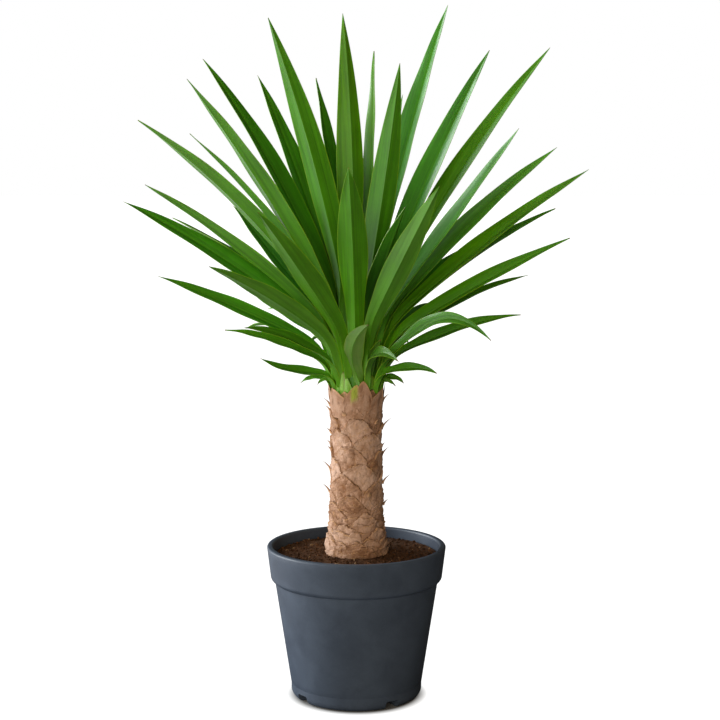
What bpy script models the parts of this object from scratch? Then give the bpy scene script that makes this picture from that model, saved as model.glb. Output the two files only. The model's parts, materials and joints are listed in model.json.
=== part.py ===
# A potted yucca: a tapered nursery pot filled with soil, a bark-covered cane standing in a hole in
# the soil, and a head of sword leaves grown on the cane's top. Metres, +Z up, origin on the pot's
# axis at the floor, the side seen first faces -Y.

import math
import random

import bmesh
import bpy
from mathutils import Matrix, Vector, noise

MM = 0.001

# Pot: a cone with a thicker band round the rim and a foot ring with four drain notches.
POT_SIDES = 56
WALL_RADIUS_AT_FLOOR = 74.8 * MM
WALL_TAPER = 0.153
WALL_THICKNESS = 4.6 * MM
BAND_BOTTOM = 138 * MM
BAND_ROUNDING = 6 * MM
BAND_RADIUS = 100.9 * MM
RIM_HEIGHT = 179.5 * MM
RIM_RADIUS = 105 * MM
LIP_WIDTH = 7.4 * MM
LIP_ROUNDING = 2.5 * MM
FOOT_INNER_RADIUS = 57 * MM
FOOT_CONTACT_RADIUS = 68 * MM
FOOT_ROUNDING = 9 * MM
POT_FLOOR_UNDERSIDE = 12 * MM
POT_FLOOR_TOP = 16 * MM
INSIDE_ROUNDING = 6 * MM
NOTCH_WIDTH = 18 * MM
NOTCH_HEIGHT = 10.5 * MM
NOTCH_AZIMUTHS = (-57, 35, 123, 215)
DRAIN_HOLE_RADIUS = 5 * MM
DRAIN_HOLE_CIRCLE = 40 * MM
DRAIN_HOLES = 6

# Clearance between neighbouring solids.
GAP = 0.3 * MM

# Soil: fills the pot to a little below the rim and carries the cane in a plain hole.
SOIL_SIDES = 44
SOIL_AT_WALL = 167.5 * MM
SOIL_AT_CANE = 170.5 * MM
SOIL_BUMPS = 1.8 * MM
SOIL_BUMP_SIZE = 14 * MM
SOIL_RINGS = 7

# Cane: a buried plain end, a bark of overlapping scales and a cup of dry sheath points on top.
CANE_SIDES = 44
BURIED_RADIUS = 36.5 * MM
BURIED_BOTTOM = 90 * MM
BARK_BOTTOM = 173 * MM
BARK_TOP = 346 * MM
BARK_RINGS = 37
BARK_PROFILE = ((173, 36.2), (187, 34.0), (211, 31.6), (235, 30.4), (259, 29.1),
                (306, 28.2), (346, 29.2))
SCALE_RISE = 4.3 * MM
SCALE_TURN = math.radians(137.5)
SCALE_HALF_ANGLE = math.radians(44)
SCALE_ARCH = 17 * MM
SCALE_LENGTH = 30 * MM
SCALE_DEPTH = 3.2 * MM
CUP_FLOOR = 352 * MM
CUP_OUTER_RADIUS = 33 * MM
CUP_INNER_RADIUS = 27 * MM
CUP_INSIDE_FLARE = 3 * MM

# Dry sheath points round the cup: azimuth in degrees and height in millimetres, straight between.
CUP_EDGE = (
    (-180, 367), (-164, 361), (-146, 370), (-130, 356), (-112, 382), (-92, 356), (-62, 374),
    (-42, 357), (-17, 367), (8, 360), (30, 372), (52, 357), (80, 378), (102, 358), (128, 372),
    (152, 358), (180, 367),
)

# Dry spikes on the bark: azimuth in degrees, height and length in millimetres.
SPIKES = (
    (184, 348, 11), (172, 340, 9), (190, 316, 8), (176, 301, 7), (168, 293, 7), (183, 272, 13),
    (177, 245, 12), (-6, 353, 11), (4, 320, 15), (-10, 300, 6), (8, 288, 12), (-3, 256, 13),
    (5, 230, 8), (40, 338, 10), (62, 285, 11), (88, 325, 12), (104, 255, 10), (128, 305, 11),
    (148, 222, 9), (30, 208, 8), (-40, 330, 7), (-140, 284, 6), (-62, 246, 6), (-118, 340, 7),
)
SPIKE_WIDTH = 7 * MM
SPIKE_THICKNESS = 2.6 * MM
SPIKE_ROOT_DEPTH = 6 * MM
SPIKE_LEAN = math.radians(48)

# Leaf head: a green core that carries every leaf.
CORE_SIDES = 20
CORE_PROFILE = ((352.3, 24.5), (362, 25.5), (386, 25.5), (402, 23), (430, 17), (452, 10), (464, 4))
ROOT_HEIGHTS = ((0, 455), (40, 426), (60, 410), (75, 388), (90, 380), (110, 380))
ROOT_INSET = 2.5 * MM
ROOT_DEPTH = 12 * MM
BEND_LATENESS = ((0, 0), (62, 0), (76, 0.7), (110, 0.7))
LEAF_SEGMENTS = 7
SHORT_LEAF = 130 * MM
SHORT_LEAF_SEGMENTS = 6
BLADE_MID_THICKNESS = 1.8 * MM
BLADE_EDGE_THICKNESS = 0.8 * MM
BLADE_BASE_SHARE = 0.42
BLADE_WIDEST_AT = 0.45
BLADE_TIP_SHARE = 0.035
BLADE_TAPER_POWER = 1.8
FOLD_AT_BASE = 30
FOLD_AT_TIP = 13

# One leaf a row: azimuth from +X and lean from upright in degrees, length, bow (how far the middle
# arches up off the straight line), sway (the same, sideways) and width in millimetres, the turn of
# the blade about its own length in degrees, and how far its root lies below the usual height.
LEFT_LEAVES = (
    (-172, 71, 138, 6, 0, 16, -35, 4),
    (-138, 69, 154, 8, 0, 18, -45, 6),
    (-155, 76, 100, -5, 0, 14, -45, 6),
    (178, 66, 230, 4, 0, 22, -40, 0),
    (-134, 62, 233, 8, 0, 26, 35, 0),
    (-178, 56, 301, 10, 0, 28, -45, 0),
    (-163, 51, 293, 10, 0, 26, 30, 0),
    (-173, 43, 341, 19, 0, 28, 43, 0),
    (-162, 38, 292, 14, 0, 18, 17, 0),
    (-159, 33, 341, 9, 0, 30, 25, 0),
    (170, 28.4, 353, 14, 0, 30, -33, 0),
    (146, 24, 319, 7, 0, 31, -22, 0),
    (-148, 17, 357, 10, 0, 34, 40, 0),
    (118, 18, 299, 6, 0, 32, 20, 0),
    (-115, 54, 273, 4, 0, 32, 20, 0),
    (143, 48, 230, 0, 0, 30, -15, 0),
    (-161, 58, 124, 0, 0, 20, 35, 0),
    (-171, 98, 43, 4, 0, 8, -50, 2),
    (-163, 104, 25, 4, 0, 6, -50, 4),
)
MIDDLE_LEAVES = (
    (-146, 2, 340, 6, 0, 36, 35, 0),
    (-92, 47, 293, 15, 0, 36, 0, 0),
    (71, 10, 313, -12, 0, 26, -35, 0),
    (-51, 13, 297, -4, 0, 33, -33, 0),
    (-80, 38, 90, 8, -12, 26, -30, 52),
    (-60, 70, 76, 17, -6, 20, 50, 16),
)
RIGHT_LEAVES = (
    (29, 17, 383, 7, 0, 36, 16, 0),
    (4, 24, 346, 6, 0, 33, 47, 0),
    (8, 33, 390, 12, 0, 30, 37, 0),
    (-27, 38, 299, -1, 0, 27, 50, 0),
    (-5, 44, 306, 11, 0, 28, 43, 0),
    (-4, 51, 319, 9, 0, 28, 40, 0),
    (7, 54, 268, 14, 0, 24, 30, 0),
    (-7, 60, 261, 6, 0, 26, 40, 0),
    (-68, 49, 279, 2, 0, 32, -30, 0),
    (-48, 26, 156, 4, 0, 26, -5, 0),
    (16, 65, 213, 10, 0, 20, 20, 0),
    (-6, 71, 178, 8, 0, 20, 35, 0),
    (-36, 75, 166, 34, 0, 20, 50, 0),
    (-38, 85, 92, 6, 0, 16, 40, 0),
    (24, 53, 207, 12, 0, 26, 20, 0),
    (-12, 101, 34, 4, 0, 9, 45, 2),
    (-20, 106, 26, 3, 0, 6, 45, 4),
)

# Short broad sheaths low on the core, azimuth and lean in degrees and length in millimetres.
SHEATHS = (
    (-128, 14, 58), (-92, 10, 64), (-48, 18, 60), (6, 13, 64), (52, 15, 56), (102, 12, 62),
    (152, 14, 60), (-168, 13, 62),
)
SHEATH_ROOT_HEIGHT = 368
SHEATH_WIDTH = 27
SHEATH_BOW = 3

# Leaves on the far side, azimuth and lean only: length, bow and width follow from the lean.
FAR_LEAVES = (
    (95, 21), (55, 24), (125, 25), (75, 37), (113, 34),
    (25, 35), (60, 44), (90, 43), (124, 42), (148, 60),
    (15, 55), (35, 50), (66, 57), (93, 58), (116, 57), (134, 62), (160, 56),
    (42, 61), (55, 72), (78, 70), (101, 73), (125, 73), (140, 77),
    (64, 83), (90, 86), (113, 83),
)
FAR_LENGTH = 365 * MM
FAR_SHORTER_FROM = 35
FAR_SHORTER_PER_DEGREE = 4.9 * MM
FAR_WIDTH = 29 * MM
FAR_WIDTH_LOSS_PER_DEGREE = 0.13 * MM
FAR_BOW_PER_DEGREE = 0.22 * MM
FAR_TURN = 18
SEED = 7


def clear_scene():
    for obj in list(bpy.data.objects):
        bpy.data.objects.remove(obj, do_unlink=True)


def make_material(name, colour, roughness):
    material = bpy.data.materials.new(name)
    material.use_nodes = True
    shader = material.node_tree.nodes["Principled BSDF"]
    shader.inputs["Base Color"].default_value = (*colour, 1.0)
    shader.inputs["Roughness"].default_value = roughness
    shader.inputs["Metallic"].default_value = 0.0
    return material


def link_mesh(name, vertices, faces, material):
    """An object from points and faces, with its faces turned outwards."""
    mesh = bpy.data.meshes.new(name)
    mesh.from_pydata(vertices, [], faces)
    work = bmesh.new()
    work.from_mesh(mesh)
    bmesh.ops.recalc_face_normals(work, faces=work.faces)
    work.to_mesh(mesh)
    work.free()
    obj = bpy.data.objects.new(name, mesh)
    obj.data.materials.append(material)
    bpy.context.scene.collection.objects.link(obj)
    return obj


def ringed_solid(name, rings, start, end, material):
    """A closed skin over rings of equally many points, drawn together at start and at end."""
    sides = len(rings[0])
    vertices = [point for ring in rings for point in ring] + [start, end]
    start_index = len(vertices) - 2
    end_index = len(vertices) - 1
    last = (len(rings) - 1) * sides
    faces = []
    for side in range(sides):
        following = (side + 1) % sides
        faces.append((start_index, following, side))
        faces.append((end_index, last + side, last + following))
        for ring in range(len(rings) - 1):
            low = ring * sides
            high = low + sides
            faces.append((low + side, low + following, high + following, high + side))
    return link_mesh(name, vertices, faces, material)


def ring(radius, height, sides):
    """One turned ring; radius and height may each be a number or a function of the angle."""
    points = []
    for side in range(sides):
        angle = 2 * math.pi * side / sides
        r = radius(angle) if callable(radius) else radius
        z = height(angle) if callable(height) else height
        points.append(Vector((r * math.cos(angle), r * math.sin(angle), z)))
    return points


def arc(centre_r, centre_z, radius, first_degrees, last_degrees, steps):
    """Profile points (r, z) along an arc, both ends included."""
    points = []
    for step in range(steps + 1):
        angle = math.radians(first_degrees + (last_degrees - first_degrees) * step / steps)
        points.append((centre_r + radius * math.cos(angle), centre_z + radius * math.sin(angle)))
    return points


def turned_solid(name, profile, sides, material):
    rings = [ring(r, z, sides) for r, z in profile]
    start = Vector((0, 0, profile[0][1]))
    end = Vector((0, 0, profile[-1][1]))
    return ringed_solid(name, rings, start, end, material)


def between(table, value):
    """Value read off a table of (position, value) points, straight between them."""
    for (a, at_a), (b, at_b) in zip(table, table[1:]):
        if value <= b:
            share = max(0.0, (value - a) / (b - a))
            return at_a + (at_b - at_a) * share
    return table[-1][1]


def outer_wall_radius(z):
    return WALL_RADIUS_AT_FLOOR + WALL_TAPER * z


def inner_wall_radius(z):
    return outer_wall_radius(z) - WALL_THICKNESS


def smooth(obj, degrees):
    obj.data.shade_smooth()
    obj.data.set_sharp_from_angle(angle=math.radians(degrees))


def hidden_cutter(obj, collection):
    obj.hide_render = True
    obj.display_type = "WIRE"
    bpy.context.scene.collection.objects.unlink(obj)
    collection.objects.link(obj)


def pot_profile():
    foot_centre = FOOT_CONTACT_RADIUS
    lip_outer = RIM_RADIUS - LIP_ROUNDING
    lip_inner = RIM_RADIUS - LIP_WIDTH + LIP_ROUNDING
    lip_centre = RIM_HEIGHT - LIP_ROUNDING
    inside_corner = inner_wall_radius(POT_FLOOR_TOP + INSIDE_ROUNDING) - INSIDE_ROUNDING
    return [
        (FOOT_INNER_RADIUS, POT_FLOOR_UNDERSIDE),
        (FOOT_INNER_RADIUS, 0.0),
        *arc(foot_centre, FOOT_ROUNDING, FOOT_ROUNDING, -90, 0, 4),
        (outer_wall_radius(2 * FOOT_ROUNDING), 2 * FOOT_ROUNDING),
        (outer_wall_radius(BAND_BOTTOM), BAND_BOTTOM),
        *arc(BAND_RADIUS - BAND_ROUNDING, BAND_BOTTOM + BAND_ROUNDING, BAND_ROUNDING, -60, 0, 3),
        *arc(lip_outer, lip_centre, LIP_ROUNDING, 6, 90, 3),
        *arc(lip_inner, lip_centre, LIP_ROUNDING, 90, 180, 3),
        *arc(inside_corner, POT_FLOOR_TOP + INSIDE_ROUNDING, INSIDE_ROUNDING, 0, -90, 2),
    ]


def build_pot(material):
    pot = turned_solid("pot", pot_profile(), POT_SIDES, material)
    cutters = bpy.data.collections.new("pot_cutters")
    bpy.context.scene.collection.children.link(cutters)
    for number, azimuth in enumerate(NOTCH_AZIMUTHS):
        hidden_cutter(notch_cutter(number, math.radians(azimuth), material), cutters)
    for number in range(DRAIN_HOLES + 1):
        radius = DRAIN_HOLE_CIRCLE if number < DRAIN_HOLES else 0.0
        angle = 2 * math.pi * (number + 0.5) / DRAIN_HOLES
        place = Vector((radius * math.cos(angle), radius * math.sin(angle), 0))
        hidden_cutter(drain_cutter(number, place, material), cutters)
    cut = pot.modifiers.new("drain notches and holes", "BOOLEAN")
    cut.operation = "DIFFERENCE"
    cut.operand_type = "COLLECTION"
    cut.collection = cutters
    cut.solver = "EXACT"
    smooth(pot, 35)
    return pot


def notch_cutter(number, azimuth, material):
    """A bar across the foot ring whose two upper edges are bevelled; it reaches below the floor."""
    inner = FOOT_INNER_RADIUS - 8 * MM
    outer = FOOT_CONTACT_RADIUS + 20 * MM
    half = NOTCH_WIDTH / 2
    corner = 3 * MM
    section = [(-half, -5 * MM), (half, -5 * MM), (half, NOTCH_HEIGHT - corner),
               (half - corner, NOTCH_HEIGHT), (corner - half, NOTCH_HEIGHT),
               (-half, NOTCH_HEIGHT - corner)]
    turn = Matrix.Rotation(azimuth, 3, "Z")
    vertices = [turn @ Vector((r, across, z)) for r in (inner, outer) for across, z in section]
    count = len(section)
    faces = [tuple(range(count)), tuple(range(count, 2 * count))]
    for side in range(count):
        following = (side + 1) % count
        faces.append((side, following, count + following, count + side))
    return link_mesh(f"notch_cutter_{number}", vertices, faces, material)


def drain_cutter(number, place, material):
    sides = 12
    low = POT_FLOOR_UNDERSIDE - 3 * MM
    high = POT_FLOOR_TOP + 3 * MM
    rings = [[place + point for point in ring(DRAIN_HOLE_RADIUS, z, sides)] for z in (low, high)]
    centres = [place + Vector((0, 0, z)) for z in (low, high)]
    return ringed_solid(f"drain_cutter_{number}", rings, *centres, material)


def soil_height(x, y, share):
    """Domed top with crumb-sized bumps; share runs from 0 at the cane to 1 at the wall."""
    level = SOIL_AT_CANE + (SOIL_AT_WALL - SOIL_AT_CANE) * share
    fade = min(1.0, 5 * share, 8 * (1 - share))
    bump = noise.noise(Vector((x, y, 0.37)) / SOIL_BUMP_SIZE)
    return level + SOIL_BUMPS * fade * bump


def build_soil(material):
    hole = BURIED_RADIUS + GAP
    top_radius = inner_wall_radius(SOIL_AT_WALL) - GAP
    corner_high = POT_FLOOR_TOP + INSIDE_ROUNDING + 2 * MM
    corner_radius = inner_wall_radius(POT_FLOOR_TOP + INSIDE_ROUNDING) - INSIDE_ROUNDING - GAP
    floor = POT_FLOOR_TOP + GAP
    rings = [ring(hole, BURIED_BOTTOM - GAP, SOIL_SIDES)]
    for step in range(SOIL_RINGS + 1):
        share = step / SOIL_RINGS
        flat = ring(hole + (top_radius - hole) * share, 0.0, SOIL_SIDES)
        rings.append([Vector((p.x, p.y, soil_height(p.x, p.y, share))) for p in flat])
    rings.append(ring(inner_wall_radius(corner_high) - GAP, corner_high, SOIL_SIDES))
    rings.append(ring(corner_radius, floor, SOIL_SIDES))
    start = Vector((0, 0, BURIED_BOTTOM - GAP))
    end = Vector((0, 0, floor))
    soil = ringed_solid("soil", rings, start, end, material)
    smooth(soil, 50)
    return soil


def bark_scales():
    """Angle and top of each bark scale, lowest first, wound round the cane."""
    count = int((BARK_TOP + SCALE_ARCH + SCALE_LENGTH - BARK_BOTTOM) / SCALE_RISE)
    return [(index * SCALE_TURN, BARK_BOTTOM + 6 * MM + index * SCALE_RISE)
            for index in range(count)]


def bark_relief(angle, z, scales):
    """How far the bark stands out: each scale thickens up to its free arched edge, and the lowest
    scale that reaches a point lies outermost there."""
    for centre, top in scales:
        away = abs((angle - centre + math.pi) % (2 * math.pi) - math.pi) / SCALE_HALF_ANGLE
        below_edge = top - SCALE_ARCH * away * away - z
        if away < 1 and 0 <= below_edge < SCALE_LENGTH:
            return SCALE_DEPTH * (1 - below_edge / SCALE_LENGTH)
    return 0.0


def cup_height(angle):
    """Height of the dry sheath points round the cane."""
    azimuth = (math.degrees(angle) + 180) % 360 - 180
    return between(CUP_EDGE, azimuth) * MM


def cane_rings():
    scales = bark_scales()
    rings = [ring(BURIED_RADIUS, BURIED_BOTTOM, CANE_SIDES),
             ring(BURIED_RADIUS, BARK_BOTTOM - 1.4 * MM, CANE_SIDES)]
    for step in range(BARK_RINGS):
        z = BARK_BOTTOM + (BARK_TOP - BARK_BOTTOM) * step / (BARK_RINGS - 1)
        plain = between(BARK_PROFILE, z / MM) * MM
        rings.append(ring(lambda angle, z=z, plain=plain: plain + bark_relief(angle, z, scales),
                          z, CANE_SIDES))
    rings.append(ring(CUP_OUTER_RADIUS, cup_height, CANE_SIDES))
    rings.append(ring(CUP_INNER_RADIUS + CUP_INSIDE_FLARE, lambda angle: cup_height(angle) - 1 * MM,
                      CANE_SIDES))
    rings.append(ring(CUP_INNER_RADIUS, CUP_FLOOR, CANE_SIDES))
    return rings


def spike(number, azimuth, height, length, material):
    """A dry flattened spike: a buried foot, a narrower middle and a point that leans outwards."""
    outward = Vector((math.cos(azimuth), math.sin(azimuth), 0))
    across = Vector((-math.sin(azimuth), math.cos(azimuth), 0))
    up = Vector((0, 0, 1))
    surface = outward * (between(BARK_PROFILE, height / MM) * MM) + up * height
    along = outward * math.sin(SPIKE_LEAN) + up * math.cos(SPIKE_LEAN)
    normal = along.cross(across)
    vertices = []
    for reach, share in ((-SPIKE_ROOT_DEPTH, 1.0), (0.55 * length, 0.6)):
        centre = surface + along * reach
        wide = across * SPIKE_WIDTH / 2 * share
        thick = normal * SPIKE_THICKNESS / 2 * share
        vertices += [centre - wide, centre + thick, centre + wide, centre - thick]
    vertices.append(surface + along * length + up * 0.12 * length)
    faces = [(3, 2, 1, 0)]
    for side in range(4):
        following = (side + 1) % 4
        faces.append((side, following, 4 + following, 4 + side))
        faces.append((4 + side, 4 + following, 8))
    return link_mesh(f"spike_{number}", vertices, faces, material)


def union_all(body, parts, solver):
    """Joins the parts to the body in one solid and removes them."""
    group = bpy.data.collections.new(body.name + "_parts")
    bpy.context.scene.collection.children.link(group)
    for part in parts:
        bpy.context.scene.collection.objects.unlink(part)
        group.objects.link(part)
    join = body.modifiers.new("join", "BOOLEAN")
    join.operation = "UNION"
    join.operand_type = "COLLECTION"
    join.collection = group
    join.solver = solver
    bpy.context.view_layer.update()
    graph = bpy.context.evaluated_depsgraph_get()
    joined = bpy.data.meshes.new_from_object(body.evaluated_get(graph))
    body.modifiers.remove(join)
    body.data = joined
    for part in parts:
        bpy.data.objects.remove(part, do_unlink=True)
    bpy.data.collections.remove(group)


def build_cane(material):
    rings = cane_rings()
    start = Vector((0, 0, BURIED_BOTTOM))
    end = Vector((0, 0, CUP_FLOOR))
    cane = ringed_solid("cane", rings, start, end, material)
    spikes = [spike(number, math.radians(azimuth), height * MM, length * MM, material)
              for number, (azimuth, height, length) in enumerate(SPIKES)]
    union_all(cane, spikes, "EXACT")
    smooth(cane, 40)
    return cane


def blade_width_share(t):
    """Half width along the blade as a share of its widest: narrow foot, broad middle, long point."""
    if t < BLADE_WIDEST_AT:
        rise = max(0.0, t / BLADE_WIDEST_AT)
        rise = rise * rise * (3 - 2 * rise)
        return BLADE_BASE_SHARE + (1 - BLADE_BASE_SHARE) * rise
    fall = (t - BLADE_WIDEST_AT) / (1 - BLADE_WIDEST_AT)
    return max(BLADE_TIP_SHARE, 1 - fall ** BLADE_TAPER_POWER)


def leaf_path(azimuth, lean, length, bow, sway, drop):
    """Returns a function of t, 0 at the root and 1 at the tip, that gives the point on the midrib,
    its direction and the direction that the blade's upper face looks in before any turn."""
    outward = Vector((math.cos(azimuth), math.sin(azimuth), 0))
    up = Vector((0, 0, 1))
    root_height = between(ROOT_HEIGHTS, math.degrees(lean)) * MM - drop
    root_radius = between(CORE_PROFILE, root_height / MM) * MM - ROOT_INSET
    root = outward * root_radius + up * root_height
    chord = outward * math.sin(lean) + up * math.cos(lean)
    upper = up * math.sin(lean) - outward * math.cos(lean)
    side = up.cross(outward)
    late = between(BEND_LATENESS, math.degrees(lean))

    def at(t):
        early = max(0.0, t)
        arch = 4 * t * (1 - early) * (1 - late + 2 * late * early)
        slope = 4 * ((1 - 2 * early) * (1 - late + 2 * late * early) + 2 * late * early * (1 - early))
        point = root + chord * length * t + (upper * bow + side * sway) * arch
        direction = (chord * length + (upper * bow + side * sway) * slope).normalized()
        face = (upper - direction * direction.dot(upper)).normalized()
        return point, direction, face

    return at


def leaf_mesh(path, length, width, turn):
    """Points and triangles of one folded blade: three points across on its upper face and three
    on its under face, split into triangles alike on both."""
    segments = SHORT_LEAF_SEGMENTS if length < SHORT_LEAF else LEAF_SEGMENTS
    foot = -ROOT_DEPTH / length
    stations = [foot] + [(step / segments) ** 0.92 for step in range(1, segments + 1)]
    vertices = []
    for t in stations:
        point, direction, face = path(t)
        across = direction.cross(face)
        upper = face * math.cos(turn) + across * math.sin(turn)
        across = across * math.cos(turn) - face * math.sin(turn)
        fold = math.radians(FOLD_AT_BASE + (FOLD_AT_TIP - FOLD_AT_BASE) * max(0.0, t))
        half = width / 2 * blade_width_share(t)
        edge = across * half * math.cos(fold)
        lift = upper * half * math.sin(fold)
        rim = upper * BLADE_EDGE_THICKNESS / 2
        rib = upper * BLADE_MID_THICKNESS / 2
        vertices += [point - edge + lift + rim, point + rib, point + edge + lift + rim,
                     point + edge + lift - rim, point - rib, point - edge + lift - rim]
    faces = []
    for low in range(0, 6 * segments, 6):
        high = low + 6
        for a, b in ((0, 1), (2, 1), (5, 4), (3, 4)):
            faces += [(low + a, low + b, high + b), (low + a, high + b, high + a)]
        for a, b in ((2, 3), (5, 0)):
            faces += [(low + a, low + b, high + b, high + a)]
    last = 6 * segments
    for first in (0, last):
        faces += [(first, first + 1, first + 4, first + 5), (first + 1, first + 2, first + 3, first + 4)]
    return vertices, faces


def far_leaf(azimuth, lean, draw):
    """Fills in a far leaf's row from its azimuth and lean."""
    length = FAR_LENGTH - FAR_SHORTER_PER_DEGREE * max(0, lean - FAR_SHORTER_FROM)
    width = FAR_WIDTH - FAR_WIDTH_LOSS_PER_DEGREE * lean
    bow = FAR_BOW_PER_DEGREE * lean
    turn = draw.uniform(-FAR_TURN, FAR_TURN)
    return azimuth, lean, length / MM, bow / MM, 0, width / MM, turn, 0


def sheath(azimuth, lean, length):
    """Fills in a sheath's row."""
    drop = between(ROOT_HEIGHTS, lean) - SHEATH_ROOT_HEIGHT
    return azimuth, lean, length, SHEATH_BOW, 0, SHEATH_WIDTH, 0, drop


def all_leaves():
    draw = random.Random(SEED)
    far = tuple(far_leaf(azimuth, lean, draw) for azimuth, lean in FAR_LEAVES)
    low = tuple(sheath(*row) for row in SHEATHS)
    return LEFT_LEAVES + MIDDLE_LEAVES + RIGHT_LEAVES + far + low


def build_leaf_head(material):
    profile = [(r * MM, z * MM) for z, r in CORE_PROFILE]
    head = turned_solid("leaf_head", profile, CORE_SIDES, material)
    leaves = []
    for number, (azimuth, lean, length, bow, sway, width, turn, drop) in enumerate(all_leaves()):
        path = leaf_path(math.radians(azimuth), math.radians(lean),
                         length * MM, bow * MM, sway * MM, drop * MM)
        vertices, faces = leaf_mesh(path, length * MM, width * MM, math.radians(turn))
        leaves.append(link_mesh(f"leaf_{number}", vertices, faces, material))
    union_all(head, leaves, "MANIFOLD")
    smooth(head, 25)
    return head


def main():
    clear_scene()
    plastic = make_material("slate_plastic", (0.075, 0.090, 0.110), 0.55)
    earth = make_material("dark_soil", (0.045, 0.022, 0.012), 0.95)
    bark = make_material("dry_bark", (0.32, 0.19, 0.125), 0.85)
    green = make_material("leaf_green", (0.045, 0.16, 0.018), 0.42)
    root = bpy.data.objects.new("potted_yucca", None)
    bpy.context.scene.collection.objects.link(root)
    for piece in (build_pot(plastic), build_soil(earth), build_cane(bark), build_leaf_head(green)):
        piece.parent = root


main()
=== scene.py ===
import json
import math
import random

import bmesh
import bpy
from mathutils import Matrix, Vector, noise

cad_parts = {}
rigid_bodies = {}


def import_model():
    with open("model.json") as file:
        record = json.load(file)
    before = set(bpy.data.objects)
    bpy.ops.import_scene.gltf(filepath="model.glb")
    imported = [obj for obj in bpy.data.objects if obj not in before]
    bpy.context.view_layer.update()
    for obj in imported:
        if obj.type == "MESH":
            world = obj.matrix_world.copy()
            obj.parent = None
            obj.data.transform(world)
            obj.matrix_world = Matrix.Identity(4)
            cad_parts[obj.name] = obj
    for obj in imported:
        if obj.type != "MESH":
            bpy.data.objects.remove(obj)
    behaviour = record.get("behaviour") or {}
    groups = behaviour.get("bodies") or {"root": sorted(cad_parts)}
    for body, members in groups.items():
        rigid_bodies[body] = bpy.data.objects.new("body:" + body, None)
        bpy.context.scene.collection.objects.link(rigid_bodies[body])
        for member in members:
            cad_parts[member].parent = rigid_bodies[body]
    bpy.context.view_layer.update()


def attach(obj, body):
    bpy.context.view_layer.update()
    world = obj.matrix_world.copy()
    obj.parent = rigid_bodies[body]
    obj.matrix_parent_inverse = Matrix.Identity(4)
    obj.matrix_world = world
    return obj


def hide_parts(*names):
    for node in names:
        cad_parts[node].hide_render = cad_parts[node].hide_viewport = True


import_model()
mm = 0.001
up = Vector((0, 0, 1))
print("frame loaded")


# camera at the height of the crown's middle, looking a little down
view = {"distance": 1.92, "height": 0.624, "pitch": 6.683, "lens": 83.25, "shiftX": 0.005, "shiftY": -0.0017}


def placeCamera():
    camera = bpy.data.objects.new("camera", bpy.data.cameras.new("camera"))
    camera.data.lens = view["lens"]
    camera.data.sensor_width = 36
    camera.data.shift_x = view["shiftX"]
    camera.data.shift_y = view["shiftY"]
    camera.data.clip_start = 0.05
    camera.location = (0, -view["distance"], view["height"])
    camera.rotation_euler = (math.radians(90 - view["pitch"]), 0, 0)
    bpy.context.scene.collection.objects.link(camera)
    bpy.context.scene.camera = camera


placeCamera()
print("camera placed")


# small helpers for meshes

def readTable(table, value):
    # straight lines between (position, value) points
    for (a, atA), (b, atB) in zip(table, table[1:]):
        if value <= b:
            return atA + (atB - atA) * max(0.0, (value - a) / (b - a))
    return table[-1][1]


def smoothStep(low, high, value):
    share = min(1.0, max(0.0, (value - low) / (high - low)))
    return share * share * (3 - 2 * share)


def turned(radius, angle, z):
    return Vector((radius * math.cos(angle), radius * math.sin(angle), z))


def newSkin(*marks):
    # points, faces and one list of numbers for each mark that the material reads
    return {"points": [], "faces": [], "marks": {mark: [] for mark in marks}}


def addPoints(skin, points, **marks):
    first = len(skin["points"])
    skin["points"] += points
    for mark, values in skin["marks"].items():
        value = marks.get(mark, 0.0)
        values += value if isinstance(value, list) else [value] * len(points)
    return first


def addRings(skin, first, count, sides, startCap=True, endCap=True):
    # quads between rings of equally many points, with a flat face at each end
    for ring in range(count - 1):
        low = first + ring * sides
        for side in range(sides):
            following = (side + 1) % sides
            skin["faces"].append((low + side, low + following, low + sides + following, low + sides + side))
    if startCap:
        skin["faces"].append(tuple(first + side for side in reversed(range(sides))))
    if endCap:
        skin["faces"].append(tuple(first + (count - 1) * sides + side for side in range(sides)))


def makePiece(name, skin, material, nodeName, sharpAngle=50):
    mesh = bpy.data.meshes.new(name)
    mesh.from_pydata(skin["points"], [], skin["faces"])
    for mark, values in skin["marks"].items():
        mesh.attributes.new(mark, "FLOAT", "POINT").data.foreach_set("value", values)
    work = bmesh.new()
    work.from_mesh(mesh)
    bmesh.ops.recalc_face_normals(work, faces=work.faces)
    work.to_mesh(mesh)
    work.free()
    piece = bpy.data.objects.new(name, mesh)
    bpy.context.scene.collection.objects.link(piece)
    return dressPiece(piece, material, nodeName, sharpAngle)


def dressPiece(piece, material, nodeName, sharpAngle):
    piece.data.materials.clear()
    piece.data.materials.append(material)
    piece.data.shade_smooth()
    piece.data.set_sharp_from_angle(angle=math.radians(sharpAngle))
    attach(piece, "root")
    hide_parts(nodeName)
    return piece


# small helpers for node trees

def addNode(tree, kind, inputs, **settings):
    node = tree.nodes.new(kind)
    for name, value in settings.items():
        setattr(node, name, value)
    for key, value in inputs.items():
        if isinstance(value, bpy.types.NodeSocket):
            tree.links.new(value, node.inputs[key])
        else:
            node.inputs[key].default_value = value
    return node


def sums(tree, operation, a, b=0.0, c=0.0, clamp=False):
    return addNode(tree, "ShaderNodeMath", {0: a, 1: b, 2: c}, operation=operation, use_clamp=clamp).outputs[0]


def rescale(tree, value, fromLow, fromHigh, toLow=0.0, toHigh=1.0):
    inputs = {"Value": value, "From Min": fromLow, "From Max": fromHigh, "To Min": toLow, "To Max": toHigh}
    return addNode(tree, "ShaderNodeMapRange", inputs, clamp=True).outputs["Result"]


def blendColours(tree, share, a, b, kind="MIX"):
    return addNode(tree, "ShaderNodeMix", {0: share, 6: a, 7: b}, data_type="RGBA", blend_type=kind).outputs[2]


def mark(tree, name):
    return addNode(tree, "ShaderNodeAttribute", {}, attribute_name=name).outputs["Fac"]


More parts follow.
